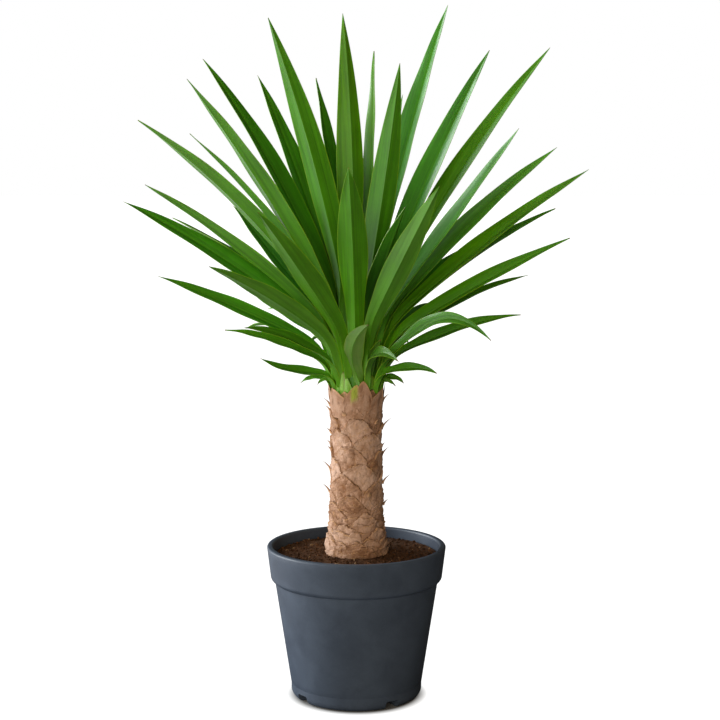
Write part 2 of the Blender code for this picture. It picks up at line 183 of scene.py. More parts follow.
def bump(tree, height, strength, distance, normal=None):
    inputs = {"Height": height, "Strength": strength, "Distance": distance}
    if normal is not None:
        inputs["Normal"] = normal
    return addNode(tree, "ShaderNodeBump", inputs).outputs["Normal"]


def newMaterial(name, values):
    # values go straight onto the shader's sockets
    material = bpy.data.materials.new(name)
    material.use_nodes = True
    shader = material.node_tree.nodes["Principled BSDF"]
    for socket, value in values.items():
        shader.inputs[socket].default_value = value
    return material, material.node_tree, shader


def wire(tree, shader, **sockets):
    names = {"colour": "Base Color", "roughness": "Roughness", "normal": "Normal"}
    for key, socket in sockets.items():
        tree.links.new(socket, shader.inputs[names[key]])


def newGroup(name, inputs, outputs):
    group = bpy.data.node_groups.new(name, "ShaderNodeTree")
    for socket, kind, default in inputs:
        made = group.interface.new_socket(socket, in_out="INPUT", socket_type=kind)
        if default is not None:
            made.default_value = default
    for socket, kind in outputs:
        group.interface.new_socket(socket, in_out="OUTPUT", socket_type=kind)
    return group, group.nodes.new("NodeGroupInput"), group.nodes.new("NodeGroupOutput")


def useGroup(tree, group, inputs):
    node = tree.nodes.new("ShaderNodeGroup")
    node.node_tree = group
    for key, value in inputs.items():
        if isinstance(value, bpy.types.NodeSocket):
            tree.links.new(value, node.inputs[key])
        else:
            node.inputs[key].default_value = value
    return node


# shared effects

def buildMottling():
    # cloudy light and dark patches with a finer grain on top, 0 to 1
    group, enter, leave = newGroup(
        "mottling",
        [("Patch Size", "NodeSocketFloat", 0.03), ("Grain Size", "NodeSocketFloat", 0.002),
         ("Grain Share", "NodeSocketFloat", 0.3)],
        [("Patches", "NodeSocketFloat"), ("Grain", "NodeSocketFloat"), ("Both", "NodeSocketFloat")])
    place = group.nodes.new("ShaderNodeTexCoord").outputs["Object"]
    patchScale = sums(group, "DIVIDE", 1.0, enter.outputs["Patch Size"])
    grainScale = sums(group, "DIVIDE", 1.0, enter.outputs["Grain Size"])
    patches = addNode(group, "ShaderNodeTexNoise",
                      {"Vector": place, "Scale": patchScale, "Detail": 4.0, "Roughness": 0.6, "Distortion": 0.6})
    grain = addNode(group, "ShaderNodeTexNoise",
                    {"Vector": place, "Scale": grainScale, "Detail": 3.0, "Roughness": 0.7})
    patchValue = rescale(group, patches.outputs["Fac"], 0.3, 0.7)
    grainValue = rescale(group, grain.outputs["Fac"], 0.3, 0.7)
    both = addNode(group, "ShaderNodeMix",
                   {0: enter.outputs["Grain Share"], 2: patchValue, 3: grainValue}, data_type="FLOAT").outputs[0]
    group.links.new(patchValue, leave.inputs["Patches"])
    group.links.new(grainValue, leave.inputs["Grain"])
    group.links.new(both, leave.inputs["Both"])
    return group


def buildStreaks():
    # long narrow streaks that run with a blade or fibre: Across and Along are in metres on the piece
    group, enter, leave = newGroup(
        "streaks",
        [("Across", "NodeSocketFloat", 0.0), ("Along", "NodeSocketFloat", 0.0), ("Seed", "NodeSocketFloat", 0.0),
         ("Streak Width", "NodeSocketFloat", 0.001), ("Streak Length", "NodeSocketFloat", 0.1)],
        [("Streaks", "NodeSocketFloat")])
    x = sums(group, "DIVIDE", enter.outputs["Across"], enter.outputs["Streak Width"])
    y = sums(group, "DIVIDE", enter.outputs["Along"], enter.outputs["Streak Length"])
    z = sums(group, "MULTIPLY", enter.outputs["Seed"], 37.0)
    place = addNode(group, "ShaderNodeCombineXYZ", {"X": x, "Y": y, "Z": z}).outputs[0]
    texture = addNode(group, "ShaderNodeTexNoise", {"Vector": place, "Scale": 1.0, "Detail": 1.0, "Roughness": 0.5})
    group.links.new(rescale(group, texture.outputs["Fac"], 0.3, 0.7), leave.inputs["Streaks"])
    return group


mottling = buildMottling()
streaks = buildStreaks()


# leaves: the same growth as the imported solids, with finer blades

leafShape = {
    "stations": 30, "claspStations": 9,
    "midThickness": 1.7, "edgeThickness": 0.6, "claspThickness": 3.0,
    "claspShare": 0.52, "footShare": 0.44, "widestAt": 0.45, "taperPower": 1.8,
    "foldAtClasp": 46, "foldAtFoot": 36, "foldAtTip": 24, "flatAtFoot": 30, "flatAtTip": 13,
    "ridge": (0.0, 0.06, 0.36, 0.70, 1.0),
    "joinShare": 0.27, "joinReach": 66, "shortJoinShare": 0.5,
    "edgeWave": 0.5, "twist": 7, "rootInset": 2.5,
    "seed": 11,
}
claspHeights = ((0, 440), (20, 415), (40, 392), (60, 374), (75, 365), (90, 360), (110, 357))
claspLayers = ((0, -4), (40, 0), (60, 1.5), (75, 2.5), (90, 3.0), (110, 3.0))
rootHeights = ((0, 455), (40, 426), (60, 410), (75, 388), (90, 380), (110, 380))
bendLateness = ((0, 0), (62, 0), (76, 0.7), (110, 0.7))
coreProfile = ((352.3, 24.5), (362, 25.5), (386, 25.5), (402, 23), (430, 17), (452, 10), (464, 4))

# azimuth, lean, length, bow, sway, width, turn, drop, then tone (-1 yellowish, 1 bluish) and age (0 fresh, 1 dull)
leftLeaves = (
    (-172, 71, 138, 6, 0, 16, -35, 4, 0.0, 0.1),
    (-138, 69, 154, 8, 0, 18, -45, 6, 0.1, 0.1),
    (-155, 76, 100, -5, 0, 14, -45, 6, 0.2, 0.1),
    (178, 66, 230, 4, 0, 22, -40, 0, 0.3, 0.0),
    (-134, 62, 233, 8, 0, 26, 35, 0, -0.2, 0.3),
    (-178, 56, 301, 10, 0, 28, -45, 0, 0.5, 0.0),
    (-163, 51, 293, 10, 0, 26, 30, 0, -0.1, 0.1),
    (-173, 43, 341, 19, 0, 28, 43, 0, -0.4, 0.0),
    (-162, 38, 292, 14, 0, 18, 17, 0, 0.1, 0.0),
    (-159, 33, 341, 9, 0, 30, 25, 0, -0.2, 0.0),
    (170, 28.4, 353, 14, 0, 30, -33, 0, 0.5, 0.0),
    (146, 24, 319, 7, 0, 31, -22, 0, 0.4, 0.0),
    (-148, 17, 357, 10, 0, 34, 40, 0, 0.0, 0.0),
    (118, 18, 299, 6, 0, 32, 20, 0, 0.4, 0.0),
    (-115, 54, 273, 4, 0, 32, 20, 0, -0.3, 0.1),
    (143, 48, 230, 0, 0, 30, -15, 0, 0.7, 0.0),
    (-161, 58, 124, 0, 0, 20, 35, 0, 0.5, 0.0),
    (-171, 98, 43, 4, 0, 8, -50, 2, 0.0, 0.2),
    (-163, 104, 25, 4, 0, 6, -50, 4, 0.0, 0.5),
)
middleLeaves = (
    (-146, 2, 340, 6, 0, 35, 78, 0, -0.9, 0.0),
    (-92, 47, 293, 15, 0, 36, 0, 0, -0.2, 0.0),
    (71, 10, 313, -12, 0, 26, -35, 0, -0.8, 0.0),
    (-51, 13, 297, -4, 0, 33, -33, 0, 0.0, 0.0),
    (-80, 38, 90, 8, -12, 26, -30, 52, 0.0, 1.0),
    (-60, 70, 76, 17, -6, 20, 50, 16, 0.2, 0.5),
)
rightLeaves = (
    (29, 17, 383, 7, 0, 36, 16, 0, 0.6, 0.0),
    (4, 24, 346, 6, 0, 33, 47, 0, 0.6, 0.0),
    (8, 33, 390, 12, 0, 30, 37, 0, -0.2, 0.0),
    (-27, 38, 299, -1, 0, 27, 50, 0, 0.6, 0.0),
    (-5, 44, 306, 11, 0, 28, 43, 0, 0.0, 0.0),
    (-4, 51, 319, 9, 0, 28, 40, 0, -0.4, 0.0),
    (7, 54, 268, 14, 0, 24, 30, 0, 0.2, 0.0),
    (-7, 60, 261, 6, 0, 26, 40, 0, -0.1, 0.0),
    (-68, 49, 279, 2, 0, 32, -30, 0, -0.1, 0.3),
    (-48, 26, 156, 4, 0, 26, -5, 0, 0.5, 0.0),
    (16, 65, 213, 10, 0, 20, 20, 0, 0.0, 0.1),
    (-6, 71, 178, 8, 0, 20, 35, 0, 0.1, 0.1),
    (-36, 75, 166, 34, 0, 20, 50, 0, 0.3, 0.2),
    (-38, 85, 92, 6, 0, 16, 40, 0, 0.1, 0.1),
    (24, 53, 207, 12, 0, 26, 20, 0, 0.8, 0.0),
    (-12, 101, 34, 4, 0, 9, 45, 2, 0.1, 0.2),
    (-20, 106, 26, 3, 0, 6, 45, 4, 0.2, 0.6),
)
farLeaves = (
    (95, 21), (55, 24), (125, 25), (75, 37), (113, 34),
    (25, 35), (60, 44), (90, 43), (124, 42), (148, 60),
    (15, 55), (35, 50), (66, 57), (93, 58), (116, 57), (134, 62), (160, 56),
    (42, 61), (55, 72), (78, 70), (101, 73), (125, 73), (140, 77),
    (64, 83), (90, 86), (113, 83),
)
farRule = {"length": 365, "shorterFrom": 35, "shorterBy": 4.9, "width": 29, "widthLoss": 0.13, "bow": 0.22,
           "turn": 18, "seed": 7}
sheathRows = (
    (-128, 14, 58), (-92, 10, 64), (-48, 18, 60), (6, 13, 64), (52, 15, 56), (102, 12, 62),
    (152, 14, 60), (-168, 13, 62),
)
sheathRule = {"height": 368, "width": 27, "bow": 3}


def leafPath(azimuth, lean, length, bow, sway, drop):
    # gives the midrib's point and direction at t, 0 at the root and 1 at the tip
    outward = turned(1, azimuth, 0)
    degrees = math.degrees(lean)
    height = readTable(rootHeights, degrees) - drop / mm
    radius = readTable(coreProfile, height) - leafShape["rootInset"]
    root = outward * radius * mm + up * height * mm
    chord = outward * math.sin(lean) + up * math.cos(lean)
    upper = up * math.sin(lean) - outward * math.cos(lean)
    side = up.cross(outward)
    late = readTable(bendLateness, degrees)

    def at(t):
        spread = 1 - late + 2 * late * t
        arch = 4 * t * (1 - t) * spread
        slope = 4 * ((1 - 2 * t) * spread + 2 * late * t * (1 - t))
        push = upper * bow + side * sway
        return root + chord * length * t + push * arch, (chord * length + push * slope).normalized()

    return at, root, outward


def leafFrames(row):
    # stations from the clasped foot in the cup, round the bend and out to the tip
    azimuth, lean, length, bow, sway, width, turn, drop, tone, age = row
    at, root, outward = leafPath(math.radians(azimuth), math.radians(lean), length * mm, bow * mm, sway * mm,
                                 drop * mm)
    join = min(leafShape["joinShare"] * length, leafShape["joinReach"]) / length
    if length < 60:
        join = leafShape["shortJoinShare"]
    low = readTable(claspHeights, lean) if drop < 10 else root.z / mm - 14
    foot = outward * (readTable(coreProfile, low) + readTable(claspLayers, lean)) * mm + up * low * mm
    meet, heading = at(join)
    reach = (meet - foot).length
    bend = (foot, foot + (up + outward * 0.25).normalized() * reach * 0.45, meet - heading * reach * 0.42, meet)
    frames = []
    count = leafShape["claspStations"]
    for step in range(count):
        u = step / count
        v = 1 - u
        point = bend[0] * v ** 3 + bend[1] * 3 * v * v * u + bend[2] * 3 * v * u * u + bend[3] * u ** 3
        direction = (bend[1] - bend[0]) * v * v + (bend[2] - bend[1]) * 2 * v * u + (bend[3] - bend[2]) * u * u
        frames.append((point, direction.normalized(), u * join, u))
    count = leafShape["stations"] if length > 130 else 18
    for step in range(count):
        t = join + (0.997 - join) * (step / (count - 1)) ** 0.95
        frames.append((*at(t), t, 1.0))
    return frames, outward


def bladeShare(t, clasp):
    # half width as a share of the widest, wider where it clasps the stem, a needle point at the very end
    if t < leafShape["widestAt"]:
        rise = smoothStep(0, leafShape["widestAt"], t)
        foot = leafShape["claspShare"] + (leafShape["footShare"] - leafShape["claspShare"]) * clasp
        return foot + (1 - foot) * rise
    fall = (t - leafShape["widestAt"]) / (1 - leafShape["widestAt"])
    return max(0.0, 1 - fall ** leafShape["taperPower"])


def addBlade(skin, row, draw, sheath=0.0):
    azimuth, lean, length, bow, sway, width, turn, drop, tone, age = row
    frames, outward = leafFrames(row)
    lanes = [-s for s in reversed(leafShape["ridge"][1:])] + list(leafShape["ridge"])
    twist = math.radians(draw.uniform(-1, 1) * leafShape["twist"])
    phase, waves, seed = draw.uniform(0, 6.28), draw.uniform(2.5, 4.5), draw.uniform(-1, 1)
    sides = 2 * len(lanes)
    first = None
    for point, direction, t, clasp in frames:
        face = up * direction.dot(outward) - outward * direction.dot(up)
        face = (face - direction * direction.dot(face)).normalized()
        across = direction.cross(face)
        angle = math.radians(turn) * smoothStep(0.1, 1.25, clasp + t * 2) + twist * math.sin(math.pi * t) * t
        upper = face * math.cos(angle) + across * math.sin(angle)
        across = across * math.cos(angle) - face * math.sin(angle)
        fold = leafShape["foldAtFoot"] + (leafShape["foldAtTip"] - leafShape["foldAtFoot"]) * t
        fold = math.radians(fold + (leafShape["foldAtClasp"] - leafShape["foldAtFoot"]) * (1 - clasp))
        flat = math.radians(leafShape["flatAtFoot"] + (leafShape["flatAtTip"] - leafShape["flatAtFoot"]) * t)
        half = max(0.25 * mm, width * mm / 2 * bladeShare(t, clasp))
        middle = leafShape["midThickness"] * min(1.0, 0.25 + 6 * (1 - t))
        middle += (leafShape["claspThickness"] - leafShape["midThickness"]) * (1 - clasp)
        edge = min(middle, leafShape["edgeThickness"])
        rows = []
        for s in lanes:
            wave = leafShape["edgeWave"] * mm * math.sin(waves * 2 * math.pi * t + phase + s)
            lift = half * (math.sin(fold) * (abs(s) - 0.3) + 0.06 * math.sin(math.pi * abs(s)))
            lift += wave * s * s * min(1, 8 * t)
            thick = middle + (edge - middle) * abs(s)
            rows.append((point + across * half * math.cos(flat) * s + upper * lift, upper * thick * mm / 2, s))
        ring = [base + rise for base, rise, s in rows] + [base - rise for base, rise, s in reversed(rows)]
        marks = [s for base, rise, s in rows] + [s for base, rise, s in reversed(rows)]
        # painted shade: blade parts near the axis, low in the crown and on upright leaves get a darker colour in place
        # of the crown's own shadow
        inward = 1 - smoothStep(28, 72, math.hypot(point.x, point.y) / mm)
        innerShadeShare = inward * (1 - smoothStep(490, 590, point.z / mm)) * (1 - smoothStep(22, 46, lean))
        start = addPoints(skin, ring, leafAcross=marks, leafWide=[s * half for s in marks],
                          leafAlong=t * length * mm, leafLeft=(1 - t) * length * mm, leafClasp=1 - clasp,
                          leafTone=tone, leafAge=age, leafSeed=seed, leafSheath=sheath, leafDepth=innerShadeShare)
        first = start if first is None else first
    addRings(skin, first, len(frames), sides)


def newLeafSkin():
    return newSkin("leafAcross", "leafWide", "leafAlong", "leafLeft", "leafClasp", "leafTone", "leafAge",
                   "leafSeed", "leafSheath", "leafDry", "leafDepth")


def farRow(azimuth, lean, draw, tones):
    length = farRule["length"] - farRule["shorterBy"] * max(0, lean - farRule["shorterFrom"])
    width = farRule["width"] - farRule["widthLoss"] * lean
    turn = draw.uniform(-farRule["turn"], farRule["turn"])
    return (azimuth, lean, length, farRule["bow"] * lean, 0, width, turn, 0,
            tones.uniform(-0.4, 0.6), tones.uniform(0, 0.3))


def sheathRow(azimuth, lean, length):
    drop = readTable(rootHeights, lean) - sheathRule["height"]
    return azimuth, lean, length, sheathRule["bow"], 0, sheathRule["width"], 0, drop, -0.3, 0.0


leafLook = {
    "yellowish": (0.098, 0.290, 0.001, 1), "middle": (0.066, 0.250, 0.002, 1), "bluish": (0.038, 0.225, 0.012, 1),
    "dull": (0.150, 0.260, 0.060, 1), "foot": (0.130, 0.370, 0.012, 1), "sheath": (0.240, 0.480, 0.060, 1),
    "margin": (0.300, 0.480, 0.010, 1), "midrib": (0.095, 0.290, 0.006, 1), "dry": (0.170, 0.075, 0.024, 1),
    # the last entry is the colour multiplier for the painted shade at the inner leaf bases
    "roughness": (0.32, 0.42), "paintedShadeMultiplier": 0.45,
}


def buildLeafMaterial():
    material, tree, shader = newMaterial("livingLeaf", {
        "Specular IOR Level": 0.7, "Roughness": 0.36, "Specular Tint": (0.9, 1.0, 0.9, 1),
        "Subsurface Weight": 0.35, "Subsurface Radius": (0.4, 1.0, 0.1), "Subsurface Scale": 0.0016})
    across, along, left = mark(tree, "leafAcross"), mark(tree, "leafAlong"), mark(tree, "leafLeft")
    tone, age, seed = mark(tree, "leafTone"), mark(tree, "leafAge"), mark(tree, "leafSeed")
    wide, sheath, clasp = mark(tree, "leafWide"), mark(tree, "leafSheath"), mark(tree, "leafClasp")
    fine = useGroup(tree, streaks, {"Across": wide, "Along": along, "Seed": seed, "Streak Width": 0.0009,
                                    "Streak Length": 0.16}).outputs[0]
    broad = useGroup(tree, streaks, {"Across": wide, "Along": along, "Seed": seed, "Streak Width": 0.0035,
                                     "Streak Length": 0.09}).outputs[0]
    cloud = useGroup(tree, mottling, {"Patch Size": 0.05, "Grain Size": 0.004, "Grain Share": 0.25})
    colour = blendColours(tree, rescale(tree, tone, -1, 0), leafLook["yellowish"], leafLook["middle"])
    colour = blendColours(tree, rescale(tree, tone, 0, 1), colour, leafLook["bluish"])
    shade = sums(tree, "ADD", rescale(tree, fine, 0, 1, 0.78, 1.16), rescale(tree, broad, 0, 1, -0.15, 0.15))
    # painted shade: darker colour at the inner leaf bases
    shade = sums(tree, "MULTIPLY", shade, rescale(tree, mark(tree, "leafDepth"), 0, 1, 1.0, leafLook["paintedShadeMultiplier"]))
    shade = sums(tree, "MULTIPLY", shade, rescale(tree, cloud.outputs["Both"], 0, 1, 0.86, 1.14))
    shadeColour = addNode(tree, "ShaderNodeCombineColor", {0: shade, 1: shade, 2: shade}).outputs[0]
    colour = blendColours(tree, 1.0, colour, shadeColour, "MULTIPLY")
    colour = blendColours(tree, sums(tree, "MULTIPLY", age, rescale(tree, broad, 0, 1, 0.45, 1.0)), colour,
                          leafLook["dull"])
    nearMiddle = rescale(tree, sums(tree, "ABSOLUTE", wide), 0.0003, 0.0014, 0.4, 0.0)
    colour = blendColours(tree, nearMiddle, colour, leafLook["midrib"])
    footShare = sums(tree, "MULTIPLY", clasp, rescale(tree, broad, 0, 1, 0.5, 0.95))
    colour = blendColours(tree, footShare, colour, leafLook["foot"])
    colour = blendColours(tree, sums(tree, "MULTIPLY", sheath, rescale(tree, broad, 0, 1, 0.6, 1.0)), colour,
                          leafLook["sheath"])
    margin = rescale(tree, sums(tree, "ABSOLUTE", across), 0.93, 0.99, 0.0, 0.5)
    colour = blendColours(tree, margin, colour, leafLook["margin"])
    dry = sums(tree, "MAXIMUM", rescale(tree, left, 0.0012, 0.0035, 0.9, 0.0), mark(tree, "leafDry"))
    colour = blendColours(tree, dry, colour, leafLook["dry"])
    low, high = leafLook["roughness"]
    rough = rescale(tree, cloud.outputs["Both"], 0, 1, low, high)
    wire(tree, shader, colour=colour, roughness=rough, normal=bump(tree, broad, 0.25, 0.0004))
    return material


def buildLeaves():
    material = buildLeafMaterial()
    draw = random.Random(leafShape["seed"])
    farDraw, farTones = random.Random(farRule["seed"]), random.Random(farRule["seed"] + 1)
    far = [farRow(azimuth, lean, farDraw, farTones) for azimuth, lean in farLeaves]
    groups = (("leaves_left", leftLeaves), ("leaves_middle", middleLeaves), ("leaves_right", rightLeaves),
              ("leaves_far", far))
    for name, rows in groups:
        skin = newLeafSkin()
        for row in rows:
            addBlade(skin, row, draw)
        makePiece(name, skin, material, "leaf_head", 55)
    skin = newLeafSkin()
    for row in sheathRows:
        addBlade(skin, sheathRow(*row), draw, 0.2)
    makePiece("leaf_sheaths", skin, material, "leaf_head", 55)
    skin = newLeafSkin()
    sides = 64
    for z, r in coreProfile:
        ring = [turned((r - 0.3) * mm, 2 * math.pi * side / sides, z * mm) for side in range(sides)]
        addPoints(skin, ring, leafWide=[side * 0.002 for side in range(sides)], leafAlong=0.01, leafLeft=0.2)
    addRings(skin, 0, len(coreProfile), sides)
    makePiece("growing_core", skin, material, "leaf_head", 55)
    return material


leafMaterial = buildLeaves()
print("leaves grown")


# cane: overlapping dry scales, wrinkles, threads and spikes

caneShape = {
    "sides": 330, "rows": 240, "bottom": 168, "top": 352, "buriedRadius": 36.5, "buriedBottom": 90,
    "scales": 42, "scaleRise": 4.3, "scaleTurn": 137.5, "scaleHalfAngle": (34, 47), "scaleArch": (11, 20),
    "scaleLength": 30, "scaleDepth": (1.5, 3.2), "wander": (3.4, 1.3), "lip": 0.5, "crevice": 0.8,
    "pillow": 1.5, "pillowSize": 9.5, "grain": 0.35, "flake": 1.6,
    "rowHeight": 8.0, "rowDepth": 1.7, "rowsBelow": 268, "cupFloor": 352, "cupInner": 27, "seed": 4,
}
caneProfile = ((168, 36.6), (173, 36.2), (187, 34.0), (211, 31.6), (235, 30.4), (259, 29.1), (306, 28.2), (346, 29.2))
# dry scales round the cup: azimuth, half angle, notch, tip, where the tip leans, flare, green patch
cupScales = (
    (-151, 35, 357, 371, -0.45, 1.6, 0.0), (-86, 34, 354, 377, 0.30, 0.6, 0.9), (-24, 34, 356, 371, 0.55, 1.8, 0.0),
    (37, 34, 356, 376, 0.1, 1.2, 0.0), (97, 33, 355, 380, -0.2, 1.0, 0.3), (156, 33, 357, 374, 0.2, 1.5, 0.0),
)
innerCupScales = (
    (-118, 24, 352, 364, 0.0, -1.0, 0.4), (-54, 24, 352, 366, 0.1, -1.0, 0.2), (6, 26, 352, 368, 0.0, -0.8, 0.2),
    (68, 25, 352, 372, 0.0, -0.8, 0.5), (127, 25, 352, 367, 0.0, -0.8, 0.2), (188, 24, 352, 366, 0.0, -0.8, 0.4),
)
spikes = (
    (184, 348, 11), (172, 340, 9), (190, 316, 8), (176, 301, 7), (168, 293, 7), (183, 272, 13),
    (177, 245, 12), (-6, 353, 11), (4, 320, 15), (-10, 300, 6), (8, 288, 12), (-3, 256, 13),
    (5, 230, 8), (40, 338, 10), (62, 285, 11), (88, 325, 12), (104, 255, 10), (128, 305, 11),
    (148, 222, 9), (30, 208, 8), (-40, 330, 7), (-140, 284, 6), (-62, 246, 6), (-118, 340, 7),
)


def drawScales():
    # dry leaf bases in a spiral; the lowest one that covers a spot lies outermost
    draw = random.Random(caneShape["seed"])
    return [{"angle": math.radians(index * caneShape["scaleTurn"] + draw.uniform(-8, 8)),
             "top": 179 + index * caneShape["scaleRise"] + draw.uniform(-2.2, 2.2),
             "half": math.radians(draw.uniform(*caneShape["scaleHalfAngle"])),
             "arch": draw.uniform(*caneShape["scaleArch"]), "depth": draw.uniform(*caneShape["scaleDepth"]),
             "tone": draw.uniform(-1, 1), "place": Vector((draw.uniform(0, 40), 0, 0))}
            for index in range(caneShape["scales"])]


def scaleEdge(scale, angle):
    # height of a scale's free edge at this angle, or None beside it
    away = abs((angle - scale["angle"] + math.pi) % (2 * math.pi) - math.pi) / scale["half"]
    return scale["top"] - scale["arch"] * away * away if away < 1 else None


def barkPoint(scales, angle, z):
    # relief in millimetres, then how far the spot is pale edge (with painted highlight on crests), crevice (painted
    # shade) and tone
    place = turned(30, angle, z)
    wide, small = caneShape["wander"]
    zz = z + noise.noise(place / 13) * wide + noise.noise(place / 4) * small
    turn = angle + noise.noise(place / 12 + up * 9) * 0.12
    low = 1 - smoothStep(200, caneShape["rowsBelow"], z)
    relief, edge, crevice, tone = 0.0, 0.0, 0.0, 0.0
    for scale in scales:
        top = scaleEdge(scale, turn)
        if top is None or not -3 < top - zz < caneShape["scaleLength"]:
            continue
        broken = smoothStep(-0.25, 0.2, noise.noise(place / 5 + scale["place"]))
        below = top - zz
        if below < 0:
            # painted shade just above a scale's free edge, where the next scale tucks in
            crevice = max(crevice, (1 + below / 2.4) * (0.35 + 0.65 * broken))
            continue
        relief = scale["depth"] * (1 - below / caneShape["scaleLength"]) * (1 - 0.5 * low)
        relief += caneShape["lip"] * max(0.0, 1 - below / 1.6) * (1 - 0.5 * low)
        # pale free edge of each scale, brightened further as a painted highlight
        edge = max(0.0, 1 - below / 1.5) * broken * (1 - 0.4 * low)
        tone = scale["tone"]
        break
    crevice = max(0.0, crevice)
    relief -= caneShape["crevice"] * crevice
    bent = place + Vector((noise.noise(place / 6), noise.noise(place / 6 + up * 5), noise.noise(place / 5))) * 2.6
    near, second = noise.voronoi(Vector((bent.x, bent.y, bent.z * 1.25)) / caneShape["pillowSize"])[0][:2]
    pillow = 1 - 1.5 * near
    relief += caneShape["pillow"] * (pillow - 0.35)
    crease = 1 - smoothStep(0.0, 0.12, second - near)
    creased = smoothStep(-0.1, 0.35, noise.noise(place / 9 + up * 3))
    # painted shade in some crumple creases; the other creases get a painted highlight
    crevice = max(crevice, 0.5 * crease * creased)
    edge = max(edge, 0.55 * crease * (1 - creased) * smoothStep(-0.2, 0.3, noise.noise(place / 3)))
    if low > 0:
        waved = z + 5.5 * noise.noise(place / 14) + 1.6 * noise.noise(place / 5)
        row = waved / caneShape["rowHeight"] + 1.3 * noise.noise(place / 24 + up * 2)
        step = row - math.floor(row)
        relief += caneShape["rowDepth"] * low * (step - 0.5)
        gate = smoothStep(-0.2, 0.25, noise.noise(place / 6 + up * 7))
        # painted highlight on the crest of each wrinkle row, painted shade at its foot
        edge = max(edge, low * gate * smoothStep(0.82, 0.97, step))
        crevice = max(crevice, low * (0.3 + 0.6 * gate) * (1 - smoothStep(0.0, 0.22, step)))
    foot = 1 - smoothStep(178, 194, z)
    if foot > 0:
        flake = noise.cell_vector(Vector((bent.x, bent.y, bent.z)) / 10)
        relief += caneShape["flake"] * foot * (flake.x - 0.3)
    relief += caneShape["grain"] * (noise.noise(place / 1.9) + 0.5 * noise.noise(place / 0.9))
    return relief, edge, crevice, 0.5 * tone + 0.8 * noise.noise(place / 15 + up * 4)


# crevice is the colour of painted shade in crevices, creases and the cup floor; edge is pale fibre colour, also used
# as a painted highlight on crests
barkLook = {
    "pale": (0.660, 0.440, 0.330, 1), "middle": (0.470, 0.275, 0.180, 1), "brown": (0.300, 0.150, 0.078, 1),
    "rust": (0.300, 0.115, 0.035, 1), "crevice": (0.070, 0.028, 0.010, 1), "edge": (0.620, 0.350, 0.160, 1),
    "tip": (0.090, 0.042, 0.018, 1), "green": (0.330, 0.420, 0.040, 1),
}


def buildBarkMaterial():
    material, tree, shader = newMaterial("dryBark", {"Specular IOR Level": 0.3, "Roughness": 0.8})
    edge, crevice, tone = mark(tree, "barkEdge"), mark(tree, "barkCrevice"), mark(tree, "barkTone")
    tip, fresh, green = mark(tree, "barkTip"), mark(tree, "barkFresh"), mark(tree, "barkGreen")
    cloud = useGroup(tree, mottling, {"Patch Size": 0.014, "Grain Size": 0.0012, "Grain Share": 0.4})
    spots = useGroup(tree, mottling, {"Patch Size": 0.006, "Grain Size": 0.0006, "Grain Share": 0.5})
    light = sums(tree, "ADD", cloud.outputs["Both"], rescale(tree, tone, -0.8, 0.8, -0.45, 0.45), clamp=True)
    colour = blendColours(tree, rescale(tree, light, 0.0, 0.45), barkLook["brown"], barkLook["middle"])
    colour = blendColours(tree, rescale(tree, light, 0.4, 1.0), colour, barkLook["pale"])
    rusty = rescale(tree, spots.outputs["Patches"], 0.7, 0.95, 0.0, 0.5)
    colour = blendColours(tree, rusty, colour, barkLook["rust"])
    colour = blendColours(tree, sums(tree, "MULTIPLY", fresh, 0.45), colour, barkLook["brown"])
    colour = blendColours(tree, green, colour, barkLook["green"])
    # painted shade: crevices, creases and the cup floor darkened in colour
    colour = blendColours(tree, sums(tree, "MULTIPLY", crevice, 0.9), colour, barkLook["crevice"])
    # pale edges and threads; on scale crests, crumple ridges and wrinkle crests this is also a painted highlight
    threads = sums(tree, "MULTIPLY", edge, rescale(tree, spots.outputs["Both"], 0.15, 0.7, 0.4, 1.0))
    colour = blendColours(tree, threads, colour, barkLook["edge"])
    colour = blendColours(tree, tip, colour, barkLook["tip"])
    height = sums(tree, "ADD", cloud.outputs["Grain"], sums(tree, "MULTIPLY", spots.outputs["Both"], 0.7))
    rough = rescale(tree, cloud.outputs["Both"], 0, 1, 0.6, 0.85)
    wire(tree, shader, colour=colour, roughness=rough, normal=bump(tree, height, 0.5, 0.0006))
    return material


def newBarkSkin():
    return newSkin("barkEdge", "barkCrevice", "barkTone", "barkTip", "barkFresh", "barkGreen")


def buildBark(material, scales):
    skin = newBarkSkin()
    sides, rows = caneShape["sides"], caneShape["rows"]
    angles = [2 * math.pi * side / sides for side in range(sides)]
    for z in (caneShape["buriedBottom"], caneShape["bottom"] - 1):
        addPoints(skin, [turned(caneShape["buriedRadius"] * mm, angle, z * mm) for angle in angles])
    for row in range(rows):
        z = caneShape["bottom"] + (caneShape["top"] - caneShape["bottom"]) * row / (rows - 1)
        plain = readTable(caneProfile, z)
        grow = smoothStep(168, 173, z)
        spots = [barkPoint(scales, angle, z) for angle in angles]
        ring = [turned((plain + spot[0] * grow) * mm, angle, z * mm) for spot, angle in zip(spots, angles)]
        addPoints(skin, ring, barkEdge=[spot[1] for spot in spots], barkCrevice=[spot[2] for spot in spots],
                  barkTone=[spot[3] for spot in spots], barkFresh=smoothStep(312, 350, z))
    # the cup floor rings are darkened all round as painted shade
    for radius, z in ((caneShape["cupInner"] + 1.5, 352.5), (caneShape["cupInner"], 352)):
        addPoints(skin, [turned(radius * mm, angle, z * mm) for angle in angles], barkCrevice=1.0, barkFresh=1.0)
    addRings(skin, 0, rows + 4, sides)
    makePiece("bark", skin, material, "cane", 60)


